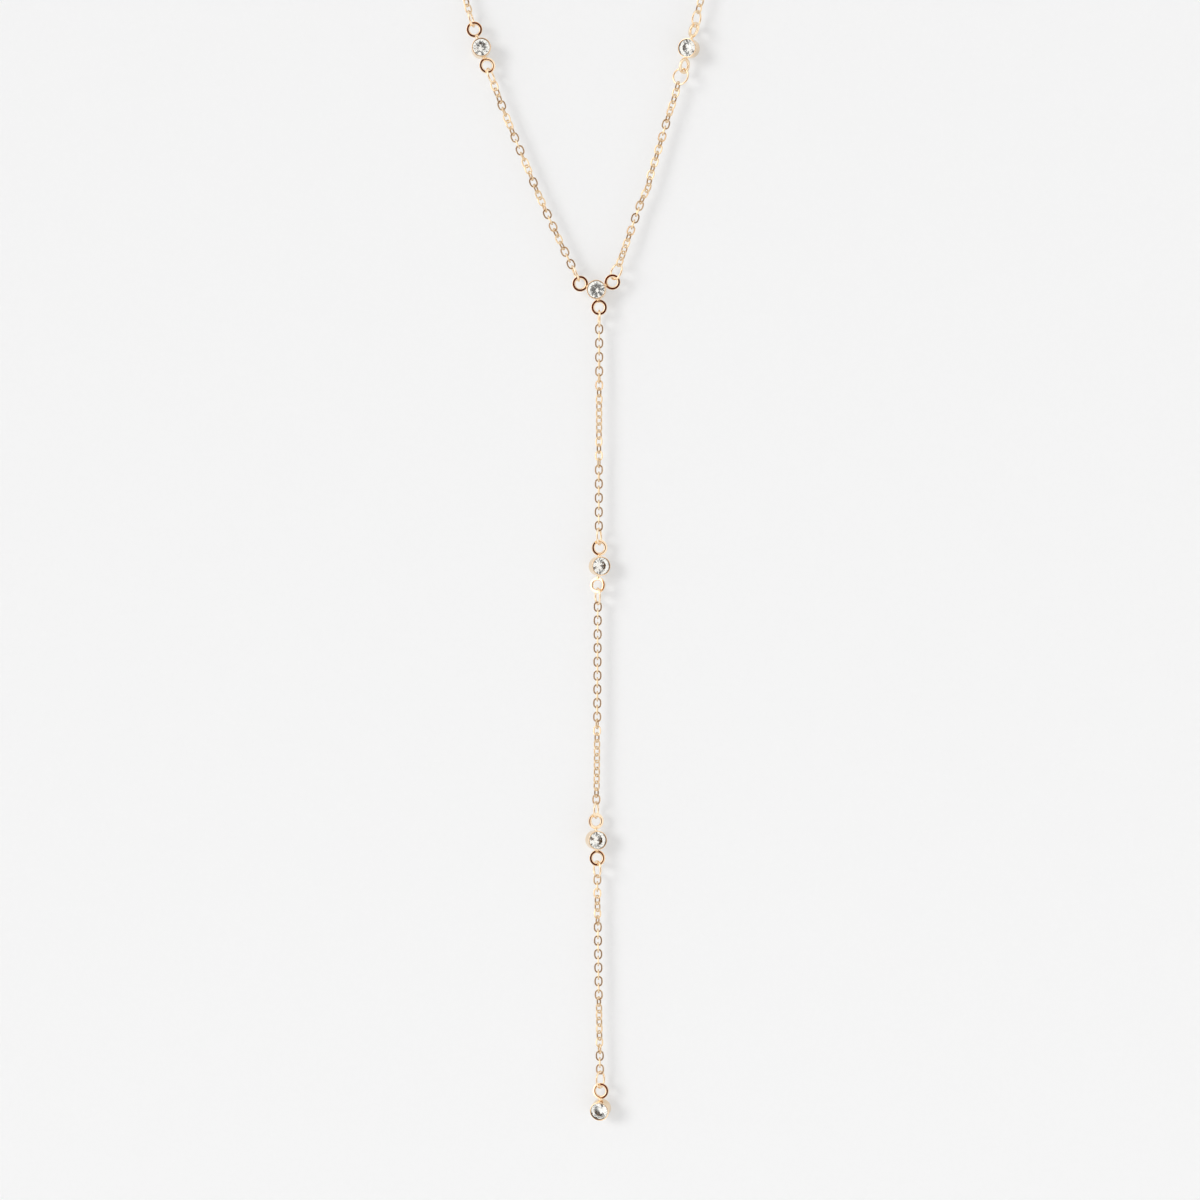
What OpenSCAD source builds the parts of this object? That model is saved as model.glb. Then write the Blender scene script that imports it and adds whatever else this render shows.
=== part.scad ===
// Y necklace of fine cable chain with round stones in cup settings.
// It hangs in the XZ plane and faces -Y. The origin is where the top of the loop hangs, at
// the middle of the clasp's underside. All lengths are in millimetres.

/* [Loop] */
// Half width of the loop at its top
neck_r = 31; // [26:1:60]
// How far below the top the sides stay upright
upright_h = 60; // [45:1:80]
// Height of the Y stone below the top
y_depth = 185; // [160:1:260]
// How far the Y stone hangs right of the loop's middle
y_shift = 3; // [-5:0.5:5]
// Height of the two side stones above the Y stone
side_rise = 43.5; // [36:0.1:60]
// Left side stone's distance left of the Y stone
left_reach = 20.8; // [16:0.1:26]
// Right side stone's distance right of the Y stone
right_reach = 16.6; // [14:0.1:26]

/* [Drop] */
// From the Y stone down to the first stone of the drop
drop_step_1 = 49.7; // [30:0.1:80]
// From the first stone of the drop to the second
drop_step_2 = 49.3; // [30:0.1:80]
// From the second stone of the drop to the last
drop_step_3 = 48.5; // [30:0.1:80]
// How far the first stone of the drop hangs right of the Y stone
drop_lean_1 = 0.5; // [-2:0.1:2]
// How far the second stone of the drop hangs right of the first
drop_lean_2 = -0.6; // [-2:0.1:2]
// How far the last stone of the drop hangs right of the second
drop_lean_3 = 0.8; // [-2:0.1:2]

/* [Chain] */
// Wire of a chain link
wire_d = 0.3; // [0.22:0.01:0.36]
// Outer length of a chain link
link_l = 2; // [1.8:0.05:2.6]
// Outer width of a chain link
link_w = 1.52; // [1.4:0.02:1.8]
// Least play between two chain links
link_play = 0.12; // [0.1:0.01:0.2]

/* [Jump rings] */
// Outer diameter of a jump ring
jump_d = 3.3; // [3:0.1:4.5]
// Wire of a jump ring
jump_wire = 0.38; // [0.3:0.01:0.5]
// Play between a ring and what hangs in it
ring_play = 0.1; // [0.05:0.01:0.2]

/* [Stones] */
// Diameter of a stone at its girdle
stone_d = 3.08; // [2.6:0.02:4]
// Width of the table, as a share of the stone
table_share = 0.55; // [0.45:0.01:0.65]
// Height of the crown above the girdle
crown_h = 0.46; // [0.3:0.01:0.6]
// Height of the girdle
girdle_h = 0.08; // [0.04:0.01:0.15]
// Depth of the pavilion below the girdle
pavilion_h = 1.34; // [1:0.02:1.5]
// Gap all round between a stone and its cup
stone_gap = 0.04; // [0.02:0.01:0.08]

/* [Settings] */
// Wall of the cup beside the stone
cup_wall = 0.17; // [0.12:0.01:0.3]
// Floor of the cup
cup_floor = 0.4; // [0.2:0.02:0.6]
// Gap under the stone's point
point_gap = 0.16; // [0.05:0.01:0.6]
// Height of the folded lip above the girdle
lip_h = 0.36; // [0.3:0.01:0.5]
// How far the lip folds in over the stone
lip_fold = 0.03; // [0.01:0.01:0.06]
// Rounding of the cup's back edge
back_round = 0.3; // [0.2:0.05:0.6]
// Ledge that the stone rests on
ledge_w = 0.2; // [0.12:0.02:0.35]
// Outer diameter of an eye soldered to the cup
eye_d = 2.9; // [2.7:0.1:3.6]
// Width of an eye's metal between its hole and its rim
eye_wire = 0.6; // [0.5:0.02:0.7]
// Thickness of an eye round its hole
eye_thick = 0.5; // [0.3:0.02:0.56]
// Thickness of an eye at its rim
eye_rim = 0.44; // [0.24:0.02:0.5]
// Rounding of an eye's rim
eye_round = 0.1; // [0.05:0.01:0.12]
// Diameter of the solder between cup and eye
solder_d = 0.7; // [0.5:0.05:1]

/* [Clasp] */
// Outer length of the clasp's hoop
clasp_l = 9; // [7:0.5:14]
// Outer width of the clasp's hoop
clasp_w = 3.6; // [3.2:0.1:6]
// Wire of the clasp's hoop
clasp_wire = 1.1; // [0.8:0.05:1.2]

/* [Hidden] */

GOLD = "#e2bb80";
CRYSTAL = "#dde3df";

// Round wires and turned shapes
WIRE_SIDES = 16;
TURN_SIDES = 32;

// How far a cutting shape reaches past what it cuts
CUT = 1;

// Points of the star facets and of the lower girdle facets, as shares of the stone's radius
STAR_SHARE = 0.8;
LOWER_SHARE = 0.28;

// Cup around its stone, heights from the cup's back
cup_r = stone_d / 2 + stone_gap + cup_wall;
culet_z = cup_floor + point_gap;
girdle_z = culet_z + pavilion_h;
cup_h = girdle_z + girdle_h + lip_h;
lip_r = stone_d / 2 - lip_fold;
rim_round = (cup_r - lip_r) / 2;

// From the middle of a cup to the middle of an eye soldered right against it
SINK_SHARE = 0.05;
solder_sink = SINK_SHARE * eye_wire;
eye_reach = cup_r + eye_d / 2 - solder_sink;

// Distances between the middles of two parts that hang in each other
eye_to_jump = eye_d / 2 + jump_d / 2 - eye_wire - jump_wire - ring_play;
jump_to_link = jump_d / 2 + link_l / 2 - jump_wire - wire_d - ring_play;
lead = eye_to_jump + jump_to_link;
pitch_most = link_l - 2 * wire_d - link_play;

// Clasp along X, its eye at the left
clasp_z = clasp_w / 2;
clasp_eye_x = -(clasp_l + eye_d) / 2 + solder_sink;
// Where a hoop end would have its middle if it were an eye of the rings' size
clasp_hook_x = (clasp_l - eye_d) / 2 - clasp_wire + eye_wire;

// Stations: place across, height, turn about the upright, nod, turn of the facets, then the
// eyes, each with its direction clockwise from straight up, its turn about that direction and
// how far the solder holds it off the cup, as a share of its wire
LEFT = [y_shift - left_reach, side_rise - y_depth, 4, -3, 8, [[-19.8, 4, 0.7], [160.5, -12, 0.2]]];
RIGHT = [y_shift + right_reach, side_rise - y_depth, -20, 4, 20,
    [[15, -58, 0.5], [-165.4, -54, 0.15]]];
Y = [y_shift, -y_depth, -4, 0, 3, [[-69, -5, 0], [63.2, -2, 0], [172, 0, 0]]];
UPPER = [Y[0] + drop_lean_1, Y[1] - drop_step_1, 17, 0, 14,
    [[0, 16, 0.25], [-174.8, 22, 0.45]]];
LOWER = [UPPER[0] + drop_lean_2, UPPER[1] - drop_step_2, 17, 0, 31,
    [[-0.6, 24, 0.4], [176.5, -10, 0.15]]];
END = [LOWER[0] + drop_lean_3, LOWER[1] - drop_step_3, -13, 12, 17, [[0.5, -12, 0.3]]];

// Sideways bow of each stretch: share of the way down, bow to the left as a share of its length
LEFT_BOW = [[0, 0], [0.1, 0.006], [0.2, 0.0105], [0.35, 0.0124], [0.5, 0.0134], [0.58, 0.0147],
    [0.65, 0.013], [0.8, 0.0088], [0.9, 0.004], [1, 0]];
RIGHT_BOW = [[0, 0], [0.07, 0.0012], [0.15, -0.0032], [0.25, -0.0035], [0.35, -0.007],
    [0.45, -0.0098], [0.51, -0.011], [0.555, -0.0185], [0.6, -0.0103], [0.66, -0.0068],
    [0.75, -0.0062], [0.85, -0.0045], [0.93, -0.0025], [1, 0]];
UPPER_BOW = [[0, 0], [0.3, 0], [0.6, 0.0015], [0.9, 0.0028], [1, 0]];
MIDDLE_BOW = [[0, 0], [0.1, -0.001], [0.5, -0.002], [0.8, -0.0022], [0.95, -0.001], [1, 0]];
LOWER_BOW = [[0, 0], [0.2, 0.0022], [0.6, 0.0022], [0.9, 0.0018], [1, 0]];

// Twist of each stretch: share of the way down, turn of its even links away from facing front
LEFT_TWIST = [[0, 25], [0.05, 45], [0.11, 85], [0.2, 135], [0.31, 180], [0.39, 190], [0.45, 228],
    [0.53, 268], [0.61, 315], [0.7, 355], [0.78, 370], [0.85, 400], [0.93, 370], [1, 360]];
RIGHT_TWIST = [[0, 118], [0.12, 125], [0.2, 163], [0.3, 200], [0.5, 205], [0.6, 230],
    [0.7, 260], [0.78, 270], [0.88, 305], [1, 320]];
UPPER_TWIST = [[0, 0], [0.27, 12], [0.36, 40], [0.5, 45], [0.6, 30], [0.72, 8], [1, 0]];
MIDDLE_TWIST = [[0, 0], [0.55, 5], [0.64, 22], [0.72, 45], [0.93, 45], [1, 12]];
LOWER_TWIST = [[0, -15], [0.07, 20], [0.13, 45], [0.2, 62], [0.26, 85], [0.6, 95], [0.68, 135],
    [0.83, 140], [0.92, 172], [1, 190]];

// Turn of each jump ring away from facing front
LEFT_TOP_TURN = 78;
LEFT_BOTTOM_TURN = -72;
RIGHT_TOP_TURN = 61;
RIGHT_BOTTOM_TURN = 28;
Y_LEFT_TURN = 84;
Y_RIGHT_TURN = 52;
Y_BOTTOM_TURN = 86;
UPPER_TOP_TURN = -76;
UPPER_BOTTOM_TURN = 74;
LOWER_TOP_TURN = -76;
LOWER_BOTTOM_TURN = 66;
END_TURN = -62;
CLASP_TURN = 90;

// How finely a route is followed, and how the hidden stretches leave the stones
ROUTE_STEPS = 60;
PULL_SHARE = 0.34;
pull = PULL_SHARE * (y_depth - side_rise - upright_h);
LEFT_LEAVE = -16.5;
RIGHT_LEAVE = 13.5;
TUBE_SIDES = 8;
TUBE_STEP = 2.9 * link_w;

function middle(station) = [station[0], station[1]];

function eye_at(station, which) =
    let (way = station[5][which][0], off = station[5][which][2])
    middle(station) + (eye_reach + off * eye_wire) * [sin(way), cos(way)];

// Each point of a route gets its distance from the start: [distance, x, z]
function measured(points) = [
    for (i = 0, s = 0; i < len(points);
         s = s + norm(points[min(i + 1, len(points) - 1)] - points[i]), i = i + 1)
        [s, points[i].x, points[i].y]
];

function whole(route) = route[len(route) - 1][0];

function place(route, s) = [
    lookup(s, [for (r = route) [r[0], r[1]]]),
    lookup(s, [for (r = route) [r[0], r[2]]])
];

// Direction of a route, clockwise from straight up, taken over one link
function heading(route, s) =
    let (step = place(route, s + link_l / 2) - place(route, s - link_l / 2))
    atan2(step.x, step.y);

// From one eye down to another, bowed to the left
function stretch(from, to, bow) =
    let (way = to - from)
    measured([
        for (i = [0:ROUTE_STEPS])
            let (u = i / ROUTE_STEPS)
            from + u * way + lookup(u, bow) * [way.y, -way.x]
    ]);

function bezier(a, b, c, d, u) =
    pow(1 - u, 3) * a + 3 * u * pow(1 - u, 2) * b + 3 * u * u * (1 - u) * c + pow(u, 3) * d;

// From a side stone's upper eye up to the clasp: a curve to the upright, then a quarter arch
function neck_route(station, way, side, clasp_x) =
    let (
        start = eye_at(station, 0),
        shoulder = [side * neck_r, -upright_h],
        bend_r = neck_r - abs(clasp_x),
        bend = [side * abs(clasp_x), clasp_z - bend_r]
    )
    measured(concat(
        [for (i = [0:ROUTE_STEPS - 1])
            bezier(start, start + pull * [sin(way), cos(way)],
                shoulder - [0, pull], shoulder, i / ROUTE_STEPS)],
        [shoulder],
        [for (i = [0:ROUTE_STEPS])
            let (a = 90 * i / ROUTE_STEPS)
            bend + bend_r * [side * cos(a), sin(a)]]
    ));

left_arm = stretch(eye_at(LEFT, 1), eye_at(Y, 0), LEFT_BOW);
right_arm = stretch(eye_at(RIGHT, 1), eye_at(Y, 1), RIGHT_BOW);
upper_drop = stretch(eye_at(Y, 2), eye_at(UPPER, 0), UPPER_BOW);
middle_drop = stretch(eye_at(UPPER, 1), eye_at(LOWER, 0), MIDDLE_BOW);
lower_drop = stretch(eye_at(LOWER, 1), eye_at(END, 0), LOWER_BOW);
left_neck = neck_route(LEFT, LEFT_LEAVE, -1, clasp_eye_x);
right_neck = neck_route(RIGHT, RIGHT_LEAVE, 1, clasp_hook_x);

// Puts a shape that stands along Z at a distance along a route
module on_route(route, s, turn) {
    p = place(route, s);
    translate([p.x, 0, p.y])
        rotate([0, heading(route, s), 0])
            rotate([0, 0, turn])
                children();
}

module ring(outer_d, wire) {
    rotate([90, 0, 0])
        rotate_extrude($fn = TURN_SIDES)
            translate([(outer_d - wire) / 2, 0])
                circle(d = wire, $fn = WIRE_SIDES);
}

// Oval ring of round wire, long along Z
module oval(length, width, wire) {
    middle_r = (width - wire) / 2;
    side_h = length - width;
    for (end = [0, 1])
        rotate([0, 180 * end, 0])
            translate([0, 0, side_h / 2])
                rotate([90, 0, 0])
                    rotate_extrude(angle = 180, $fn = TURN_SIDES)
                        translate([middle_r, 0])
                            circle(d = wire, $fn = WIRE_SIDES);
    for (side = [-1, 1])
        translate([side * middle_r, 0, -side_h / 2])
            cylinder(d = wire, h = side_h, $fn = WIRE_SIDES);
}

// Real links from the first jump ring of a route to the last, an odd number of them, so that
// both end links face the same way
module chain(route, twist) {
    length = whole(route) - 2 * lead;
    gaps = 2 * ceil(length / (2 * pitch_most));
    color(GOLD)
        for (k = [0:gaps])
            on_route(route, lead + length * k / gaps, lookup(k / gaps, twist) + 90 * k)
                oval(link_l, link_w, wire_d);
}

// Plain envelope of a chain between the two jump rings of a route
module chain_tube(route) {
    start = eye_to_jump + jump_d / 2 + ring_play;
    length = whole(route) - 2 * start;
    steps = ceil(length / TUBE_STEP);
    points = [
        for (i = [0:steps], k = [0:TUBE_SIDES - 1])
            let (
                s = start + length * i / steps,
                p = place(route, s),
                h = heading(route, s),
                a = 360 * (k + 0.5) / TUBE_SIDES
            )
            [p.x + link_w / 2 * cos(a) * cos(h), link_w / 2 * sin(a), p.y - link_w / 2 * cos(a) * sin(h)]
    ];
    sides = [
        for (i = [0:steps - 1], k = [0:TUBE_SIDES - 1])
            let (a = i * TUBE_SIDES, b = a + TUBE_SIDES, n = (k + 1) % TUBE_SIDES)
            [a + k, b + k, b + n, a + n]
    ];
    last = steps * TUBE_SIDES;
    color(GOLD)
        polyhedron(
            points,
            concat(sides, [[for (k = [0:TUBE_SIDES - 1]) k]],
                [[for (k = [TUBE_SIDES - 1:-1:0]) last + k]])
        );
}

module jump_ring(route, from_end, turn) {
    s = from_end ? whole(route) - eye_to_jump : eye_to_jump;
    color(GOLD)
        on_route(route, s, turn)
            ring(jump_d, jump_wire);
}

// Half section of the cup, with its back at zero
module cup_section() {
    bore_r = stone_d / 2 + stone_gap;
    ledge_r = bore_r - ledge_w;
    slope = pavilion_h / (stone_d / 2);
    difference() {
        union() {
            square([cup_r - back_round, back_round]);
            translate([cup_r - back_round, back_round])
                circle(back_round, $fn = TURN_SIDES);
            translate([0, back_round])
                square([cup_r, cup_h - rim_round - back_round]);
            translate([cup_r - rim_round, cup_h - rim_round])
                circle(rim_round, $fn = TURN_SIDES);
        }
        polygon([
            [-CUT, cup_floor],
            [ledge_r, cup_floor],
            [ledge_r, girdle_z - stone_gap - (stone_d / 2 - ledge_r) * slope],
            [bore_r, girdle_z - stone_gap],
            [bore_r, girdle_z + girdle_h + lip_h / 3],
            [lip_r, girdle_z + girdle_h + lip_h * 2 / 3],
            [lip_r, cup_h - rim_round],
            [-CUT, cup_h - rim_round]
        ]);
        translate([-CUT, -CUT])
            square([CUT, cup_h + 2 * CUT]);
    }
}

// Cup with its stone's axis along -Y, turned as its station is
module facing(station) {
    translate([station[0], 0, station[1]])
        rotate([station[3], 0, station[2]])
            rotate([90, 0, 0])
                translate([0, 0, -cup_h / 2])
                    children();
}

// Section of an eye: round towards the hole, then a flat face that falls away to the rim
module eye_section() {
    inner_r = eye_thick / 2;
    inner_x = eye_d / 2 - eye_wire + inner_r;
    rim_x = eye_d / 2 - eye_round;
    rim_z = eye_rim / 2 - eye_round;
    fall = atan2(rim_z, rim_x - inner_x)
        + acos((inner_r - eye_round) / norm([rim_x - inner_x, rim_z]));
    out = [cos(fall), sin(fall)];
    crest = [inner_x, 0] + inner_r * out;
    edge = [rim_x, rim_z] + eye_round * out;
    translate([inner_x, 0])
        circle(inner_r, $fn = WIRE_SIDES);
    for (side = [-1, 1])
        translate([rim_x, side * rim_z])
            circle(eye_round, $fn = WIRE_SIDES);
    polygon([
        [inner_x, 0],
        crest,
        edge,
        [eye_d / 2, rim_z],
        [eye_d / 2, -rim_z],
        [edge.x, -edge.y],
        [crest.x, -crest.y]
    ]);
}

module eye_ring() {
    rotate([90, 0, 0])
        rotate_extrude($fn = TURN_SIDES)
            eye_section();
}

// Eye and the solder that joins it to the cup's wall
module eye(way, turn, off) {
    reach = eye_reach + off * eye_wire;
    solder_z = cup_r - cup_wall / 2;
    rotate([0, way, 0]) {
        translate([0, 0, reach])
            rotate([0, 0, turn])
                eye_ring();
        translate([0, 0, solder_z])
            cylinder(d = solder_d, h = reach - eye_d / 2 + eye_wire / 2 - solder_z, $fn = WIRE_SIDES);
    }
}

module setting(station) {
    color(GOLD) {
        facing(station)
            rotate_extrude($fn = 2 * TURN_SIDES)
                cup_section();
        translate([station[0], 0, station[1]])
            for (e = station[5])
                eye(e[0], e[1], e[2]);
    }
}

// Brilliant cut: table, stars, mains and upper girdle facets above, mains and lower girdle
// facets below, on eight sides. The mains' planes give the heights of the rings between them.
module brilliant() {
    girdle_r = stone_d / 2;
    table_r = girdle_r * table_share;
    star_r = girdle_r * STAR_SHARE;
    lower_r = girdle_r * LOWER_SHARE;
    top_z = pavilion_h + girdle_h;
    star_z = top_z + crown_h * (girdle_r - star_r * cos(22.5)) / (girdle_r - table_r);
    lower_z = pavilion_h * lower_r * cos(22.5) / girdle_r;
    function around(r, z, n, from) = [
        for (k = [0:n - 1])
            let (a = from + 360 * k / n)
            [r * cos(a), r * sin(a), z]
    ];
    table = 0;
    star = 8;
    upper = 16;
    under = 32;
    lower = 48;
    culet = 56;
    points = concat(
        around(table_r, top_z + crown_h, 8, 0),
        around(star_r, star_z, 8, 22.5),
        around(girdle_r, top_z, 16, 0),
        around(girdle_r, pavilion_h, 16, 0),
        around(lower_r, lower_z, 8, 22.5),
        [[0, 0, 0]]
    );
    faces = concat(
        [[for (k = [7:-1:0]) table + k]],
        [for (k = [0:7]) let (n = (k + 1) % 8) [table + k, table + n, star + k]],
        [for (k = [0:7]) let (b = (k + 7) % 8) [table + k, star + k, upper + 2 * k, star + b]],
        [for (k = [0:7]) [star + k, upper + 2 * k + 1, upper + 2 * k]],
        [for (k = [0:7]) [star + k, upper + (2 * k + 2) % 16, upper + 2 * k + 1]],
        [for (k = [0:15]) let (n = (k + 1) % 16) [upper + k, upper + n, under + n, under + k]],
        [for (k = [0:7]) [lower + k, under + 2 * k, under + 2 * k + 1]],
        [for (k = [0:7]) [lower + k, under + 2 * k + 1, under + (2 * k + 2) % 16]],
        [for (k = [0:7]) let (b = (k + 7) % 8) [culet, lower + b, under + 2 * k, lower + k]]
    );
    polyhedron(points, faces);
}

module stone(station) {
    color(CRYSTAL)
        facing(station)
            translate([0, 0, culet_z])
                rotate([0, 0, station[4]])
                    brilliant();
}

module clasp() {
    color(GOLD)
        translate([0, 0, clasp_z]) {
            rotate([0, 90, 0])
                oval(clasp_l, clasp_w, clasp_wire);
            translate([clasp_eye_x, 0, 0])
                eye_ring();
        }
}

setting(LEFT);  // left_setting
stone(LEFT);  // left_stone
jump_ring(left_neck, false, LEFT_TOP_TURN);  // left_top_ring
jump_ring(left_arm, false, LEFT_BOTTOM_TURN);  // left_bottom_ring
setting(RIGHT);  // right_setting
stone(RIGHT);  // right_stone
jump_ring(right_neck, false, RIGHT_TOP_TURN);  // right_top_ring
jump_ring(right_arm, false, RIGHT_BOTTOM_TURN);  // right_bottom_ring
setting(Y);  // y_setting
stone(Y);  // y_stone
jump_ring(left_arm, true, Y_LEFT_TURN);  // y_left_ring
jump_ring(right_arm, true, Y_RIGHT_TURN);  // y_right_ring
jump_ring(upper_drop, false, Y_BOTTOM_TURN);  // y_bottom_ring
setting(UPPER);  // upper_drop_setting
stone(UPPER);  // upper_drop_stone
jump_ring(upper_drop, true, UPPER_TOP_TURN);  // upper_drop_top_ring
jump_ring(middle_drop, false, UPPER_BOTTOM_TURN);  // upper_drop_bottom_ring
setting(LOWER);  // lower_drop_setting
stone(LOWER);  // lower_drop_stone
jump_ring(middle_drop, true, LOWER_TOP_TURN);  // lower_drop_top_ring
jump_ring(lower_drop, false, LOWER_BOTTOM_TURN);  // lower_drop_bottom_ring
setting(END);  // end_setting
stone(END);  // end_stone
jump_ring(lower_drop, true, END_TURN);  // end_ring
chain(left_arm, LEFT_TWIST);  // left_arm_chain
chain(right_arm, RIGHT_TWIST);  // right_arm_chain
chain(upper_drop, UPPER_TWIST);  // upper_drop_chain
chain(middle_drop, MIDDLE_TWIST);  // middle_drop_chain
chain(lower_drop, LOWER_TWIST);  // lower_drop_chain
chain_tube(left_neck);  // left_neck_chain
chain_tube(right_neck);  // right_neck_chain
clasp();
jump_ring(left_neck, true, CLASP_TURN);  // clasp_left_ring
jump_ring(right_neck, true, CLASP_TURN);  // clasp_right_ring
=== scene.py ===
from math import ceil, cos, pi, radians, sin

import bpy
import numpy as np
from bpy.props import FloatProperty, FloatVectorProperty, PointerProperty
from bpy.types import Operator, Panel, PropertyGroup
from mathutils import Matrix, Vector


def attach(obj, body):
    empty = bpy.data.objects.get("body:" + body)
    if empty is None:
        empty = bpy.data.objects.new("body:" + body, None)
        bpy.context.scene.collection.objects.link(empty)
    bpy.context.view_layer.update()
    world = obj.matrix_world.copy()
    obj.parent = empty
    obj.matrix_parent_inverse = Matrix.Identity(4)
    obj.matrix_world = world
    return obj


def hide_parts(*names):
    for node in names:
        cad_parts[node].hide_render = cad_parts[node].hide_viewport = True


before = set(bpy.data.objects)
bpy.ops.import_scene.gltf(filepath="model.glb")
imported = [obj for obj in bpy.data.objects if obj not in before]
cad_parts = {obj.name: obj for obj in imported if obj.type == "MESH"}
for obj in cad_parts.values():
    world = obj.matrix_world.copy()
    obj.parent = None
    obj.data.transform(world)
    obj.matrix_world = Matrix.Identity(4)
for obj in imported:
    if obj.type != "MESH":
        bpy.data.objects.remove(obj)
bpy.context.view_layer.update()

bl_info = {
    "name": "Y necklace",
    "version": (1, 0, 0),
    "blender": (4, 5, 0),
    "location": "3D View > Sidebar > Necklace",
    "description": "Fine cable chain, jump rings, cup settings and foiled stones of a Y necklace",
    "category": "Add Mesh",
}

MM = 0.001

# How deep an eye sinks into its solder, as a share of its wire, and how hard a neck stretch
# pulls on its curve, as a share of the height that it climbs
SINK_SHARE = 0.05
PULL_SHARE = 0.34

# Points of the star facets and of the lower girdle facets, as shares of the stone's radius
STAR_SHARE = 0.8
LOWER_SHARE = 0.28

# Radius of the solder's neck at its middle, as a share of its size, and how much it grows from
# there to its ends
SOLDER_WAIST = 0.82
SOLDER_FLARE = 0.4

# Meshes: steps of a route, points round a piece and round its wire or section
ROUTE_STEPS = 60
FRONT_LINK = (14, 6)
NECK_LINK = (12, 5)
JUMP_RING = (64, 16)
HOOP = (64, 20)
EYE_AROUND, EYE_CORNER, EYE_HOLLOW = 64, 6, 15
CUP_AROUND, BACK_ROWS, RIM_ROWS = 96, 9, 17
SOLDER_AROUND, SOLDER_ROWS = 24, 9

# Rows of rough cup faces with painted shade, from inside the rim in to the foot of the ledge
DULL_SHADED_ROWS = (20, 30)

# A stone's faces that carry foil, its last: girdle, lower girdle and pavilion
FOILED = slice(-40, None)

# Edges that turn more than this stay sharp
SMOOTH = radians(50)

# Stage sheets: how far they reach to the sides and to the front, and the backdrop's top
STAGE_REACH = 8
BACKDROP_TOP = 2.5

# Tent: half angle of the glow at the key light, the share of each half angle where a patch
# starts to fade, and how much of the tent's light the front keeps that shows in the stones
GLOW = radians(48)
GLOW_EDGE, METAL_EDGE, GLASS_EDGE = 0.3, 0.68, 0.8
GLASS_FRONT = 0.15

# Front that shows in the metal: share of the way out of it, and colour there
FRONT_BROWN = ((0, (0.075, 0.014, 0.005)), (0.35, (0.27, 0.08, 0.02)),
               (0.75, (0.77, 0.43, 0.21)), (1, (1, 1, 1)))

# Stations in mm: place across, height, turn about the upright, nod, turn of the facets, then the
# eyes, each with its direction clockwise from straight up, its turn about that direction and
# how far the solder holds it off the cup, as a share of its wire
STATIONS = {
    "left": (-17.8, -141.5, 4, -3, 8, ((-19.8, 4, 0.7), (160.5, -12, 0.2))),
    "right": (19.6, -141.5, -20, 4, 20, ((15, -58, 0.5), (-165.4, -54, 0.15))),
    "y": (3, -185, -4, 0, 3, ((-69, -5, 0), (63.2, -2, 0), (172, 0, 0))),
    "upper_drop": (3.5, -234.7, 17, 0, 14, ((0, 16, 0.25), (-174.8, 22, 0.45))),
    "lower_drop": (2.9, -284, 17, 0, 31, ((-0.6, 24, 0.4), (176.5, -10, 0.15))),
    "end": (3.7, -332.5, -13, 12, 17, ((0.5, -12, 0.3),)),
}

# Sideways bow of each stretch: share of the way down, bow to the left as a share of its length
LEFT_BOW = ((0, 0), (0.1, 0.006), (0.2, 0.0105), (0.35, 0.0124), (0.5, 0.0134), (0.58, 0.0147),
            (0.65, 0.013), (0.8, 0.0088), (0.9, 0.004), (1, 0))
RIGHT_BOW = ((0, 0), (0.07, 0.0012), (0.15, -0.0032), (0.25, -0.0035), (0.35, -0.007),
             (0.45, -0.0098), (0.51, -0.011), (0.555, -0.0185), (0.6, -0.0103), (0.66, -0.0068),
             (0.75, -0.0062), (0.85, -0.0045), (0.93, -0.0025), (1, 0))
UPPER_BOW = ((0, 0), (0.3, 0), (0.6, 0.0015), (0.9, 0.0028), (1, 0))
MIDDLE_BOW = ((0, 0), (0.1, -0.001), (0.5, -0.002), (0.8, -0.0022), (0.95, -0.001), (1, 0))
LOWER_BOW = ((0, 0), (0.2, 0.0022), (0.6, 0.0022), (0.9, 0.0018), (1, 0))

# Twist of each stretch: share of the way down, turn of its even links away from facing front
LEFT_TWIST = ((0, 25), (0.05, 45), (0.11, 85), (0.2, 135), (0.31, 180), (0.39, 190), (0.45, 228),
              (0.53, 268), (0.61, 315), (0.7, 355), (0.78, 370), (0.85, 400), (0.93, 370),
              (1, 360))
RIGHT_TWIST = ((0, 118), (0.12, 125), (0.2, 163), (0.3, 200), (0.5, 205), (0.6, 230),
               (0.7, 260), (0.78, 270), (0.88, 305), (1, 320))
UPPER_TWIST = ((0, 0), (0.27, 12), (0.36, 40), (0.5, 45), (0.6, 30), (0.72, 8), (1, 0))
MIDDLE_TWIST = ((0, 0), (0.55, 5), (0.64, 22), (0.72, 45), (0.93, 45), (1, 12))
LOWER_TWIST = ((0, -15), (0.07, 20), (0.13, 45), (0.2, 62), (0.26, 85), (0.6, 95), (0.68, 135),
               (0.83, 140), (0.92, 172), (1, 190))
LEFT_NECK_TWIST = ((0, 35), (0.1, 60), (0.35, 140), (0.6, 190), (0.85, 250), (1, 270))
RIGHT_NECK_TWIST = ((0, 50), (0.15, 95), (0.4, 150), (0.7, 215), (1, 270))

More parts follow.
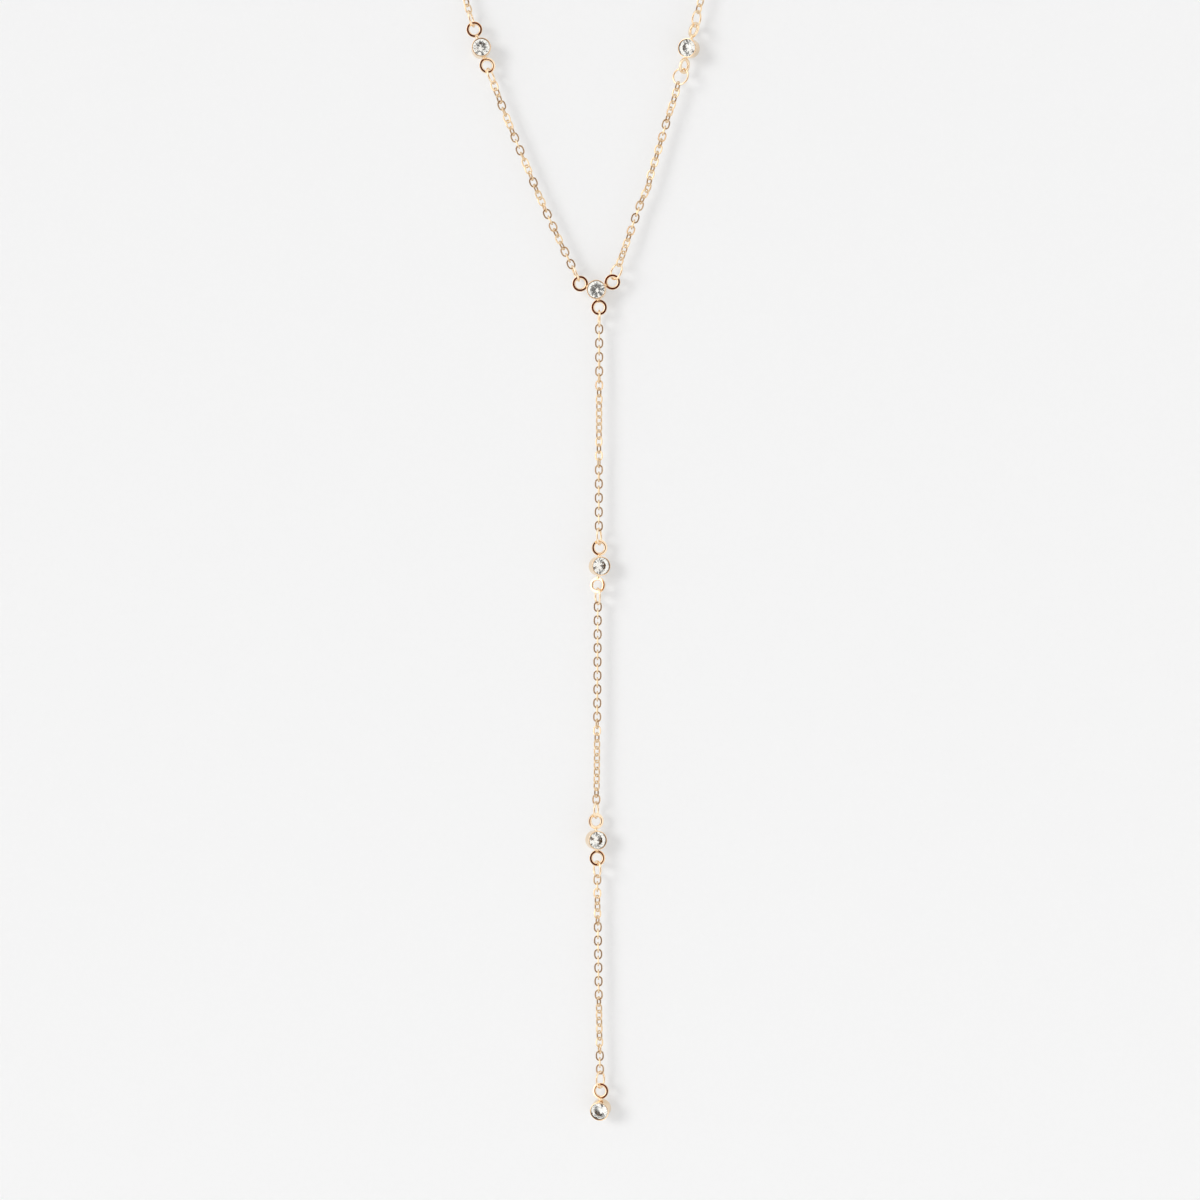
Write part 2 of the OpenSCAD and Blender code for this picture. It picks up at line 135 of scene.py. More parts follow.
# Stretches seen in front: the two eyes that each one joins, its bow and twist, and the jump
# rings at its ends, each with whether it is at the end and its turn
STRETCHES = {
    "left_arm_chain": (("left", 1), ("y", 0), LEFT_BOW, LEFT_TWIST,
                       (("left_bottom_ring", False, -72), ("y_left_ring", True, 84))),
    "right_arm_chain": (("right", 1), ("y", 1), RIGHT_BOW, RIGHT_TWIST,
                        (("right_bottom_ring", False, 28), ("y_right_ring", True, 52))),
    "upper_drop_chain": (("y", 2), ("upper_drop", 0), UPPER_BOW, UPPER_TWIST,
                         (("y_bottom_ring", False, 86), ("upper_drop_top_ring", True, -76))),
    "middle_drop_chain": (("upper_drop", 1), ("lower_drop", 0), MIDDLE_BOW, MIDDLE_TWIST,
                          (("upper_drop_bottom_ring", False, 74),
                           ("lower_drop_top_ring", True, -76))),
    "lower_drop_chain": (("lower_drop", 1), ("end", 0), LOWER_BOW, LOWER_TWIST,
                         (("lower_drop_bottom_ring", False, 66), ("end_ring", True, -62))),
}

# Stretches round the neck: station, direction in which it leaves, side, twist and jump rings
NECK_STRETCHES = {
    "left_neck_chain": ("left", -16.5, -1, LEFT_NECK_TWIST,
                        (("left_top_ring", False, 78), ("clasp_left_ring", True, 90))),
    "right_neck_chain": ("right", 13.5, 1, RIGHT_NECK_TWIST,
                         (("right_top_ring", False, 61), ("clasp_right_ring", True, 90))),
}


class ChainSizes(PropertyGroup):
    wire: FloatProperty(name="Link wire", description="Wire of a chain link",
                        default=0.3 * MM, min=0.2 * MM, max=0.4 * MM, precision=5, unit="LENGTH")
    length: FloatProperty(name="Link length", description="Outer length of a chain link",
                          default=2 * MM, min=1.8 * MM, max=2.6 * MM, precision=5, unit="LENGTH")
    width: FloatProperty(name="Link width", description="Outer width of a chain link",
                         default=1.52 * MM, min=1.4 * MM, max=1.8 * MM, precision=5, unit="LENGTH")
    play: FloatProperty(name="Link play", description="Least play between two chain links",
                        default=0.12 * MM, min=0.1 * MM, max=0.2 * MM, precision=5, unit="LENGTH")
    jump: FloatProperty(name="Jump ring", description="Outer diameter of a jump ring",
                        default=3.3 * MM, min=3 * MM, max=4.5 * MM, precision=5, unit="LENGTH")
    jump_wire: FloatProperty(name="Jump ring wire", description="Wire of a jump ring",
                             default=0.38 * MM, min=0.3 * MM, max=0.5 * MM, precision=5,
                             unit="LENGTH")
    ring_play: FloatProperty(name="Ring play", description="Play between a ring and its neighbour",
                             default=0.1 * MM, min=0.05 * MM, max=0.2 * MM, precision=5,
                             unit="LENGTH")


class LoopSizes(PropertyGroup):
    half_width: FloatProperty(name="Half width", description="Half width of the loop at its top",
                              default=31 * MM, min=26 * MM, max=60 * MM, unit="LENGTH")
    upright: FloatProperty(name="Upright", description="How far down the sides stay upright",
                           default=60 * MM, min=45 * MM, max=80 * MM, unit="LENGTH")
    clasp_length: FloatProperty(name="Clasp", description="Outer length of the clasp's hoop",
                                default=9 * MM, min=7 * MM, max=14 * MM, unit="LENGTH")
    clasp_width: FloatProperty(name="Clasp width", description="Outer width of the clasp's hoop",
                               default=3.6 * MM, min=3.2 * MM, max=6 * MM, unit="LENGTH")
    clasp_wire: FloatProperty(name="Clasp wire", description="Wire of the clasp's hoop",
                              default=1.1 * MM, min=0.8 * MM, max=1.2 * MM, precision=5,
                              unit="LENGTH")


class StoneSizes(PropertyGroup):
    diameter: FloatProperty(name="Stone", description="Diameter of a stone at its girdle",
                            default=3.08 * MM, min=2.6 * MM, max=4 * MM, precision=5,
                            unit="LENGTH")
    table: FloatProperty(name="Table", description="Width of the table, as a share of the stone",
                         default=0.55, min=0.45, max=0.65, subtype="FACTOR")
    crown: FloatProperty(name="Crown", description="Height of the crown above the girdle",
                         default=0.46 * MM, min=0.3 * MM, max=0.6 * MM, precision=5, unit="LENGTH")
    girdle: FloatProperty(name="Girdle", description="Height of the girdle",
                          default=0.08 * MM, min=0.04 * MM, max=0.15 * MM, precision=5,
                          unit="LENGTH")
    pavilion: FloatProperty(name="Pavilion", description="Depth of the pavilion below the girdle",
                            default=1.34 * MM, min=1 * MM, max=1.5 * MM, precision=5,
                            unit="LENGTH")
    gap: FloatProperty(name="Gap", description="Gap all round between a stone and its cup",
                       default=0.04 * MM, min=0.02 * MM, max=0.08 * MM, precision=5, unit="LENGTH")


class CupSizes(PropertyGroup):
    wall: FloatProperty(name="Wall", description="Wall of the cup beside the stone",
                        default=0.17 * MM, min=0.12 * MM, max=0.3 * MM, precision=5, unit="LENGTH")
    floor: FloatProperty(name="Floor", description="Floor of the cup",
                         default=0.4 * MM, min=0.2 * MM, max=0.6 * MM, precision=5, unit="LENGTH")
    point_gap: FloatProperty(name="Point gap", description="Gap under the stone's point",
                             default=0.16 * MM, min=0.05 * MM, max=0.6 * MM, precision=5,
                             unit="LENGTH")
    lip: FloatProperty(name="Lip", description="Height of the folded lip above the girdle",
                       default=0.36 * MM, min=0.3 * MM, max=0.5 * MM, precision=5, unit="LENGTH")
    fold: FloatProperty(name="Fold", description="How far the lip folds in over the stone",
                        default=0.03 * MM, min=0.01 * MM, max=0.06 * MM, precision=5,
                        unit="LENGTH")
    back_round: FloatProperty(name="Back rounding", description="Rounding of the cup's back edge",
                              default=0.3 * MM, min=0.2 * MM, max=0.6 * MM, precision=5,
                              unit="LENGTH")
    ledge: FloatProperty(name="Ledge", description="Ledge that the stone rests on",
                         default=0.2 * MM, min=0.12 * MM, max=0.35 * MM, precision=5,
                         unit="LENGTH")
    eye: FloatProperty(name="Eye", description="Outer diameter of an eye soldered to the cup",
                       default=2.9 * MM, min=2.7 * MM, max=3.6 * MM, precision=5, unit="LENGTH")
    eye_wire: FloatProperty(name="Eye width", description="Width of an eye's metal",
                            default=0.6 * MM, min=0.5 * MM, max=0.7 * MM, precision=5,
                            unit="LENGTH")
    eye_thick: FloatProperty(name="Eye thickness", description="Thickness of an eye at its hole",
                             default=0.5 * MM, min=0.3 * MM, max=0.56 * MM, precision=5,
                             unit="LENGTH")
    eye_rim: FloatProperty(name="Eye rim", description="Thickness of an eye at its rim",
                           default=0.44 * MM, min=0.24 * MM, max=0.5 * MM, precision=5,
                           unit="LENGTH")
    eye_round: FloatProperty(name="Eye rounding", description="Rounding of an eye's rim",
                             default=0.1 * MM, min=0.05 * MM, max=0.12 * MM, precision=5,
                             unit="LENGTH")
    solder: FloatProperty(name="Solder", description="Diameter of the solder between cup and eye",
                          default=0.7 * MM, min=0.5 * MM, max=1 * MM, precision=5, unit="LENGTH")


class Finish(PropertyGroup):
    gold: FloatVectorProperty(name="Gold", description="Colour of the polished plate",
                              default=(0.93, 0.78, 0.59), min=0, max=1, subtype="COLOR")
    warm_gold: FloatVectorProperty(name="Warm gold", description="Colour of its warmer parts",
                                   default=(0.87, 0.66, 0.43), min=0, max=1, subtype="COLOR")
    wire: FloatVectorProperty(name="Wire", description="Colour of the chain's wire",
                              default=(0.84, 0.67, 0.45), min=0, max=1, subtype="COLOR")
    warm_wire: FloatVectorProperty(name="Warm wire", description="Colour of its warmer parts",
                                   default=(0.74, 0.55, 0.34), min=0, max=1, subtype="COLOR")
    glass: FloatVectorProperty(name="Stone", description="Faint tint of the stones",
                               default=(0.99, 0.985, 0.97), min=0, max=1, subtype="COLOR")
    foil: FloatVectorProperty(name="Foil", description="Colour of the foil behind the stones",
                              default=(0.965, 0.96, 0.94), min=0, max=1, subtype="COLOR")
    # The groove colour is painted shade: dark metal inside the lips where the groove's shadow
    # falls
    groove: FloatVectorProperty(name="Groove", description="Colour of the dulled metal inside "
                                "the lips", default=(0.34, 0.2, 0.1), min=0, max=1,
                                subtype="COLOR")
    paper: FloatVectorProperty(name="Paper", description="Colour of the backdrop and floor",
                               default=(0.62, 0.62, 0.62), min=0, max=1, subtype="COLOR")


class StageSettings(PropertyGroup):
    lens: FloatProperty(name="Lens", description="Focal length of the camera in millimetres",
                        default=100, min=50, max=200)
    distance: FloatProperty(name="Distance", description="From the camera to the necklace",
                            default=0.6, min=0.3, max=1.5, unit="LENGTH")
    across: FloatProperty(name="Across", description="Camera's place across",
                          default=3.6 * MM, unit="LENGTH")
    height: FloatProperty(name="Height", description="Camera's height",
                          default=-240.8 * MM, unit="LENGTH")
    gap: FloatProperty(name="Backdrop gap", description="From the necklace back to the backdrop",
                       default=2.6 * MM, min=1.8 * MM, max=20 * MM, precision=5, unit="LENGTH")
    floor: FloatProperty(name="Floor", description="Height of the floor",
                         default=-400 * MM, max=-350 * MM, unit="LENGTH")
    key: FloatProperty(name="Key light", description="Strength of the key light",
                       default=1.22, min=0)
    softness: FloatProperty(name="Softness", description="Width of the key light's disc",
                            default=radians(24), min=0, max=pi / 2, subtype="ANGLE")
    backlight: FloatProperty(name="Backlight", description="Light through the backdrop",
                             default=0.36, min=0)
    floor_light: FloatProperty(name="Floor light", description="Light through the floor",
                               default=0.47, min=0)
    light_from: FloatVectorProperty(name="Light from", description="Where the key light is",
                                    default=(-0.64, -0.7, 0.2), subtype="DIRECTION")
    tent: FloatProperty(name="Tent", description="Brightness of the white tent all round",
                        default=0.3, min=0)
    shine: FloatProperty(name="Shine", description="Brightness of the tent in reflections",
                         default=1.15, min=0)
    glare: FloatProperty(name="Glare", description="Brightness of the key light in reflections",
                         default=2.2, min=0)
    dark: FloatProperty(name="Dark front", description="Half angle of the dark front that shows "
                        "in the metal", default=radians(38), min=0, max=radians(80),
                        subtype="ANGLE")
    lens_dark: FloatProperty(name="Dark lens", description="Half angle of the dark front that "
                             "shows in the stones", default=radians(16), min=0,
                             max=radians(80), subtype="ANGLE")
    sparkle: FloatVectorProperty(name="Sparkle", description="Brightness of the tent and of the "
                                 "key light in the stones", default=(1.22, 1.35), min=0, size=2)
    ground: FloatVectorProperty(name="Ground", description="Colour behind the stage, as seen",
                                default=(0.913, 0.913, 0.913), min=0, max=1, subtype="COLOR")


class Necklace(PropertyGroup):
    chain: PointerProperty(type=ChainSizes, name="Chain", description="Sizes of the chain")
    loop: PointerProperty(type=LoopSizes, name="Loop", description="Sizes of the loop and clasp")
    stone: PointerProperty(type=StoneSizes, name="Stones", description="Sizes of the stones")
    cup: PointerProperty(type=CupSizes, name="Settings", description="Sizes of the settings")
    finish: PointerProperty(type=Finish, name="Finish", description="Colours of the finishes")
    stage: PointerProperty(type=StageSettings, name="Stage", description="Camera, light, backdrop")


def sizes():
    return bpy.context.scene.necklace


# Heights and reaches that follow from the sizes

def cup_radius():
    stone, cup = sizes().stone, sizes().cup
    return stone.diameter / 2 + stone.gap + cup.wall


def girdle_height():
    stone, cup = sizes().stone, sizes().cup
    return cup.floor + cup.point_gap + stone.pavilion


def cup_height():
    return girdle_height() + sizes().stone.girdle + sizes().cup.lip


def eye_reach(off):
    cup = sizes().cup
    return cup_radius() + cup.eye / 2 + (off - SINK_SHARE) * cup.eye_wire


def eye_to_jump():
    chain, cup = sizes().chain, sizes().cup
    return cup.eye / 2 + chain.jump / 2 - cup.eye_wire - chain.jump_wire - chain.ring_play


def jump_to_link():
    chain = sizes().chain
    return chain.jump / 2 + chain.length / 2 - chain.jump_wire - chain.wire - chain.ring_play


def clasp_eye_x():
    loop, cup = sizes().loop, sizes().cup
    return (loop.clasp_length + cup.eye) / 2 - SINK_SHARE * cup.eye_wire


# Routes: arrays of (distance, x, z) in metres

def centre(name):
    return np.array(STATIONS[name][:2]) * MM


def eye_at(name, which):
    """Middle of an eye: the station's middle plus the reach along the eye's direction."""
    way, _, off = STATIONS[name][5][which]
    return centre(name) + eye_reach(off) * np.array((sin(radians(way)), cos(radians(way))))


def measured(points):
    """Each point with its distance from the start: the running sum of the steps' lengths."""
    steps = np.linalg.norm(np.diff(points, axis=0), axis=1)
    return np.column_stack((np.concatenate(((0,), np.cumsum(steps))), points))


def stretch(start, end, bow):
    """Straight line from start to end plus the bow, at right angles to it on the left."""
    share = np.linspace(0, 1, ROUTE_STEPS + 1)
    way = end - start
    side = np.interp(share, *np.transpose(bow))
    return measured(start + share[:, None] * way + side[:, None] * np.array((way[1], -way[0])))


def neck_route(name, way, side):
    """Cubic Bezier from a side stone's upper eye to the upright, then a quarter circle to the
    clasp: (1-u)^3 A + 3u(1-u)^2 B + 3u^2(1-u) C + u^3 D, and middle + r (side cos a, sin a)."""
    loop, cup = sizes().loop, sizes().cup
    start = eye_at(name, 0)
    hook_x = (loop.clasp_length - cup.eye) / 2 - loop.clasp_wire + cup.eye_wire
    end_x = clasp_eye_x() if side < 0 else hook_x
    shoulder = np.array((side * loop.half_width, -loop.upright))
    reach = PULL_SHARE * (-centre(name)[1] - loop.upright)
    pull = reach * np.array((sin(radians(way)), cos(radians(way))))
    lift = np.array((0, reach))
    u = np.linspace(0, 1, ROUTE_STEPS + 1)[:-1, None]
    curve = ((1 - u) ** 3 * start + 3 * u * (1 - u) ** 2 * (start + pull)
             + 3 * u * u * (1 - u) * (shoulder - lift) + u ** 3 * shoulder)
    bend_r = loop.half_width - end_x
    bend = np.array((side * end_x, loop.clasp_width / 2 - bend_r))
    a = np.linspace(0, pi / 2, ROUTE_STEPS + 1)
    arch = bend + bend_r * np.column_stack((side * np.cos(a), np.sin(a)))
    return measured(np.concatenate((curve, shoulder[None], arch)))


def place(route, s):
    """Points (x, z) of a route at the distances s."""
    return np.column_stack((np.interp(s, route[:, 0], route[:, 1]),
                            np.interp(s, route[:, 0], route[:, 2])))


def heading(route, s):
    """Direction of a route, clockwise from straight up, taken over one link."""
    reach = sizes().chain.length / 2
    step = place(route, s + reach) - place(route, s - reach)
    return np.arctan2(step[:, 0], step[:, 1])


def turned(about, angle):
    """Rotation matrices about one axis for an array of angles, in radians."""
    angle = np.atleast_1d(angle)
    c, s, o, i = np.cos(angle), np.sin(angle), np.zeros_like(angle), np.ones_like(angle)
    rows = {"X": ((i, o, o), (o, c, -s), (o, s, c)),
            "Y": ((c, o, s), (o, i, o), (-s, o, c)),
            "Z": ((c, -s, o), (s, c, o), (o, o, i))}[about]
    return np.array(rows).transpose(2, 0, 1)


# Surfaces: points in rows, and faces as arrays of vertex numbers

def swept(spine, out, up, section):
    """Closed tube: each point of the spine plus p N + q Y for each point (p, q) of a closed
    section, where N is the way out of the loop there and Y the loop's axis."""
    points = (spine[:, None] + section[None, :, :1] * out[:, None]
              + section[None, :, 1:] * up[None, None])
    rows, columns = points.shape[:2]
    i, j = np.meshgrid(np.arange(rows), np.arange(columns), indexing="ij")
    n, m = (i + 1) % rows, (j + 1) % columns
    quads = np.stack((i * columns + j, i * columns + m, n * columns + m, n * columns + j), -1)
    return points.reshape(-1, 3), [quads.reshape(-1, 4)]


def wire_section(wire, sides):
    v = np.linspace(0, 2 * pi, sides, endpoint=False)
    return wire / 2 * np.column_stack((np.cos(v), np.sin(v)))


def oval(length, width, wire, around, sides):
    """Oval loop of round wire, long along Z: two half circles joined by two straight sides,
    with the wire's circle swept round them."""
    half = np.linspace(0, pi, around // 2)
    a = np.concatenate((half, half + pi))
    lift = np.repeat(((length - width) / 2, (width - length) / 2), around // 2)
    out = np.column_stack((np.cos(a), np.zeros_like(a), np.sin(a)))
    spine = (width - wire) / 2 * out + lift[:, None] * np.array((0, 0, 1))
    return swept(spine, out, np.array((0, 1, 0)), wire_section(wire, sides))


def ring(diameter, section, around):
    """Ring about the Y axis: the section swept round a circle, with (0, 0) on its outer edge."""
    a = np.linspace(0, 2 * pi, around, endpoint=False)
    out = np.column_stack((np.cos(a), np.zeros_like(a), np.sin(a)))
    return swept(diameter / 2 * out, out, np.array((0, 1, 0)), section)


def jump_ring():
    chain = sizes().chain
    around, sides = JUMP_RING
    section = wire_section(chain.jump_wire, sides) - (chain.jump_wire / 2, 0)
    return ring(chain.jump, section, around)


def eye_section():
    """Section of an eye from its outer edge inwards: round towards the hole, then a flat face
    that falls away to the rounded rim. The flat touches both circles: its way out n has
    n . (rim middle - inner middle) = inner radius - rim radius."""
    cup = sizes().cup
    inner = cup.eye_thick / 2
    inner_x, rim_x = inner - cup.eye_wire, -cup.eye_round
    rim_z = cup.eye_rim / 2 - cup.eye_round
    span = np.hypot(rim_x - inner_x, rim_z)
    fall = np.arctan2(rim_z, rim_x - inner_x) + np.arccos((inner - cup.eye_round) / span)
    corner = np.linspace(0, fall, EYE_CORNER)
    hollow = np.linspace(fall, 2 * pi - fall, EYE_HOLLOW)
    return np.concatenate((
        np.column_stack((np.cos(corner), np.sin(corner))) * cup.eye_round + (rim_x, rim_z),
        np.column_stack((np.cos(hollow), np.sin(hollow))) * inner + (inner_x, 0),
        np.column_stack((np.cos(-corner[::-1]), np.sin(-corner[::-1]))) * cup.eye_round
        + (rim_x, -rim_z)))


def eye():
    return ring(sizes().cup.eye, eye_section(), EYE_AROUND)


def lathe(profile, around):
    """Profile of (radius, height) turned about Z as (r cos a, r sin a, z); its first and last
    points lie on the axis and close the two poles."""
    a = np.linspace(0, 2 * pi, around, endpoint=False)
    r, z = np.transpose(profile[1:-1])
    rings = np.stack((r[:, None] * np.cos(a), r[:, None] * np.sin(a),
                      np.broadcast_to(z[:, None], (len(z), around))), -1)
    poles = [(0, 0, profile[0][1]), (0, 0, profile[-1][1])]
    points = np.concatenate((rings.reshape(-1, 3), poles))
    i, j = np.meshgrid(np.arange(len(r) - 1), np.arange(around), indexing="ij")
    m = (j + 1) % around
    quads = np.stack((i * around + j, i * around + m, (i + 1) * around + m,
                      (i + 1) * around + j), -1).reshape(-1, 4)
    k = np.arange(around)
    n, last, end = (k + 1) % around, (len(r) - 1) * around, len(r) * around
    return points, [quads, np.column_stack((n, k, np.full(around, end))),
                    np.column_stack((last + k, last + n, np.full(around, end + 1)))]


def copies(shape, turns, spots):
    """The shape once for each rotation matrix and place."""
    points, faces = shape
    moved = np.einsum("nij,pj->npi", turns, points) + spots[:, None]
    first = (np.arange(len(spots)) * len(points))[:, None, None]
    return moved.reshape(-1, 3), [(f[None] + first).reshape(-1, f.shape[1]) for f in faces]


def joined(*shapes):
    starts = np.cumsum([0] + [len(points) for points, _ in shapes])
    return (np.concatenate([points for points, _ in shapes]),
            [f + first for (_, faces), first in zip(shapes, starts) for f in faces])


def along(route, s, turn):
    """Rotations and places of shapes that stand along Z, put on a route and turned about it."""
    turns = turned("Y", heading(route, s)) @ turned("Z", np.radians(turn))
    spots = place(route, s)
    return turns, np.column_stack((spots[:, 0], np.zeros(len(spots)), spots[:, 1]))


def new_piece(name, shape, node, materials, smooth=None, second=None):
    """Makes a mesh of the shape that rides on the necklace and stands for a CAD node. The faces
    of second, a slice, take the second material."""
    points, faces = shape
    mesh = bpy.data.meshes.new(name)
    mesh.from_pydata(points.tolist(), [], [f for group in faces for f in group.tolist()])
    for material in materials:
        mesh.materials.append(material)
    count = len(mesh.polygons)
    finish = np.zeros(count, int)
    if second:
        finish[second] = 1
    mesh.polygons.foreach_set("material_index", finish)
    mesh.polygons.foreach_set("use_smooth", np.full(count, smooth is not None))
    if smooth is not None:
        mesh.set_sharp_from_angle(angle=smooth)
    piece = bpy.data.objects.new(name, mesh)
    bpy.context.scene.collection.objects.link(piece)
    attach(piece, "root")
    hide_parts(node)
    return piece


# Finishes

def material_of(name, surface):
    """The node material of this name. The first time, surface makes its nodes and gives the
    socket for its output."""
    material = bpy.data.materials.get(name)
    if material is None:
        material = bpy.data.materials.new(name)
        material.use_nodes = True
        nodes, links = material.node_tree.nodes, material.node_tree.links
        nodes.clear()
        out = nodes.new("ShaderNodeOutputMaterial")
        links.new(surface(nodes, links), out.inputs["Surface"])
    return material


def blend(nodes, links, kind, share, low, high):
    """Socket that goes from low to high, each a socket or a value, as the share goes from 0 to
    1."""
    mix = nodes.new("ShaderNodeMix")
    mix.data_type = kind
    links.new(share, mix.inputs["Factor"])
    kinds = [socket for socket in mix.inputs if socket.enabled]
    for name, value in (("A", low), ("B", high)):
        socket = next(item for item in kinds if item.name == name)
        if isinstance(value, bpy.types.NodeSocket):
            links.new(value, socket)
        else:
            socket.default_value = value
    return next(item for item in mix.outputs if item.enabled)


def spread(nodes, links, share, low, high):
    """Socket of a number that goes from low to high as the share goes from 0 to 1."""
    scale = nodes.new("ShaderNodeMapRange")
    scale.inputs["To Min"].default_value = low
    scale.inputs["To Max"].default_value = high
    links.new(share, scale.inputs["Value"])
    return scale.outputs["Result"]


def noise(nodes, links, scale, detail=2):
    """Socket of noise from 0 to 1, in the piece's own coordinates."""
    where = nodes.new("ShaderNodeTexCoord")
    clouds = nodes.new("ShaderNodeTexNoise")
    clouds.inputs["Scale"].default_value = scale
    clouds.inputs["Detail"].default_value = detail
    links.new(where.outputs["Object"], clouds.inputs["Vector"])
    return clouds.outputs["Fac"]


def metal(nodes, links, colour, other, scale, detail=2):
    """Metal shader whose colour drifts between two in clouds of this scale."""
    shader = nodes.new("ShaderNodeBsdfPrincipled")
    shader.inputs["Metallic"].default_value = 1
    clouds = noise(nodes, links, scale, detail)
    links.new(blend(nodes, links, "RGBA", clouds, (*colour, 1), (*other, 1)),
              shader.inputs["Base Color"])
    return shader


def plate(nodes, links, colour, warm, low, high):
    """Gold plate with faint warmer clouds and fine polishing marks, its roughness from low to
    high."""
    shader = metal(nodes, links, colour, warm, 450, 3)
    marks = noise(nodes, links, 9000)
    relief = nodes.new("ShaderNodeBump")
    relief.inputs["Strength"].default_value = 0.12
    relief.inputs["Distance"].default_value = 0.01 * MM
    links.new(marks, relief.inputs["Height"])
    links.new(relief.outputs["Normal"], shader.inputs["Normal"])
    links.new(spread(nodes, links, marks, low, high), shader.inputs["Roughness"])
    return shader.outputs["BSDF"]


def gold():
    """Polished pale gold of the settings, rings and clasp."""
    finish = sizes().finish
    return material_of("pale_gold", lambda nodes, links: plate(
        nodes, links, finish.gold, finish.warm_gold, 0.05, 0.1))


def wire_gold():
    """Deeper gold of the chain's drawn wire, which is less smooth."""
    finish = sizes().finish
    return material_of("wire_gold", lambda nodes, links: plate(
        nodes, links, finish.wire, finish.warm_wire, 0.28, 0.4))


def dull_shaded_gold():
    """Rough gold in the groove round a stone, darkened with painted shade for the groove's shadow.
    """
    def surface(nodes, links):
        groove = sizes().finish.groove
        shader = metal(nodes, links, groove, [0.5 * c for c in groove], 1500)
        shader.inputs["Roughness"].default_value = 0.45
        return shader.outputs["BSDF"]

    return material_of("dull_shaded_gold", surface)


def foil():
    """Mirror foil on a stone's girdle and pavilion."""
    def surface(nodes, links):
        bright = sizes().finish.foil
        shader = metal(nodes, links, bright, [0.88 * c for c in bright], 900)
        shader.inputs["Roughness"].default_value = 0.04
        return shader.outputs["BSDF"]

    return material_of("mirror_foil", surface)


def cut_glass():
    """Clear glass of a stone's table and crown, faintly warm, with hair-fine polishing marks."""
    def surface(nodes, links):
        glass = nodes.new("ShaderNodeBsdfPrincipled")
        glass.inputs["Base Color"].default_value = (*sizes().finish.glass, 1)
        glass.inputs["Transmission Weight"].default_value = 1
        glass.inputs["IOR"].default_value = 1.56
        links.new(spread(nodes, links, noise(nodes, links, 2500), 0, 0.03),
                  glass.inputs["Roughness"])
        return glass.outputs["BSDF"]

    return material_of("cut_glass", surface)


def paper(name, backlight):
    """Matt paper with a faint grain and light from behind it, clear from its back."""
    def surface(nodes, links):
        matt = nodes.new("ShaderNodeBsdfPrincipled")
        tones = [[tone * c for c in sizes().finish.paper] + [1] for tone in (0.985, 1.015)]
        links.new(blend(nodes, links, "RGBA", noise(nodes, links, 1200), *tones),
                  matt.inputs["Base Color"])
        matt.inputs["Roughness"].default_value = 1
        matt.inputs["Specular IOR Level"].default_value = 0
        matt.inputs["Emission Color"].default_value = (1, 1, 1, 1)
        matt.inputs["Emission Strength"].default_value = backlight
        clear = nodes.new("ShaderNodeBsdfTransparent")
        side = nodes.new("ShaderNodeNewGeometry")
        pick = nodes.new("ShaderNodeMixShader")
        links.new(side.outputs["Backfacing"], pick.inputs["Fac"])
        links.new(matt.outputs["BSDF"], pick.inputs[1])
        links.new(clear.outputs["BSDF"], pick.inputs[2])
        return pick.outputs["Shader"]

    return material_of(name, surface)


# Pieces

def chain_piece(name, route, twist, mesh):
    """Links along a route, an odd number of them, each a quarter turn on from the last."""
    chain = sizes().chain
    lead = eye_to_jump() + jump_to_link()
    length = route[-1, 0] - 2 * lead
    gaps = 2 * ceil(length / (2 * (chain.length - 2 * chain.wire - chain.play)))
    k = np.arange(gaps + 1)
    turn = np.interp(k / gaps, *np.transpose(twist)) + 90 * k
    link = oval(chain.length, chain.width, chain.wire, *mesh)
    new_piece(name + "_links", copies(link, *along(route, lead + length * k / gaps, turn)),
              name, [wire_gold()], SMOOTH)


def ring_piece(node, route, from_end, turn):
    s = np.array((route[-1, 0] - eye_to_jump() if from_end else eye_to_jump(),))
    new_piece(node + "_wire", copies(jump_ring(), *along(route, s, turn)),
              node, [gold()], SMOOTH)


def clasp_piece():
    loop = sizes().loop
    high = np.array(((0, 0, loop.clasp_width / 2),))
    hoop = copies(oval(loop.clasp_length, loop.clasp_width, loop.clasp_wire, *HOOP),
                  turned("Y", pi / 2), high)
    end = copies(eye(), turned("Y", 0), high - ((clasp_eye_x(), 0, 0),))
    new_piece("clasp_hoop", joined(hoop, end), "clasp", [gold()], SMOOTH)


def cup_profile():
    """Half section of the cup as (radius, height): back, rounded edge, wall, rolled rim, lip,
    bore, ledge along the pavilion's slope, and floor."""
    stone, cup = sizes().stone, sizes().cup
    r, h = cup_radius(), cup_height()
    lip_r = stone.diameter / 2 - cup.fold
    rim = (r - lip_r) / 2
    bore = stone.diameter / 2 + stone.gap
    ledge = bore - cup.ledge
    girdle = girdle_height()
    slope = stone.pavilion / (stone.diameter / 2)
    back = np.linspace(-pi / 2, 0, BACK_ROWS)
    roll = np.linspace(0, pi, RIM_ROWS)
    b = cup.back_round
    return np.concatenate((
        ((0, 0),),
        np.column_stack((r - b + b * np.cos(back), b + b * np.sin(back))),
        np.column_stack((r - rim + rim * np.cos(roll), h - rim + rim * np.sin(roll))),
        ((lip_r, girdle + stone.girdle + cup.lip * 2 / 3),
         (bore, girdle + stone.girdle + cup.lip / 3),
         (bore, girdle - stone.gap),
         (ledge, girdle - stone.gap - (stone.diameter / 2 - ledge) * slope),
         (ledge, cup.floor),
         (0, cup.floor))))


def facing(name):
    """Rotation and place that turn a shape standing on Z to face -Y, as its station does."""
    x, z, yaw, nod = STATIONS[name][:4]
    turn = turned("Z", radians(yaw)) @ turned("X", radians(nod)) @ turned("X", pi / 2)
    spot = np.array((x * MM, 0, z * MM)) - turn[0] @ np.array((0, 0, cup_height() / 2))
    return turn, spot[None]


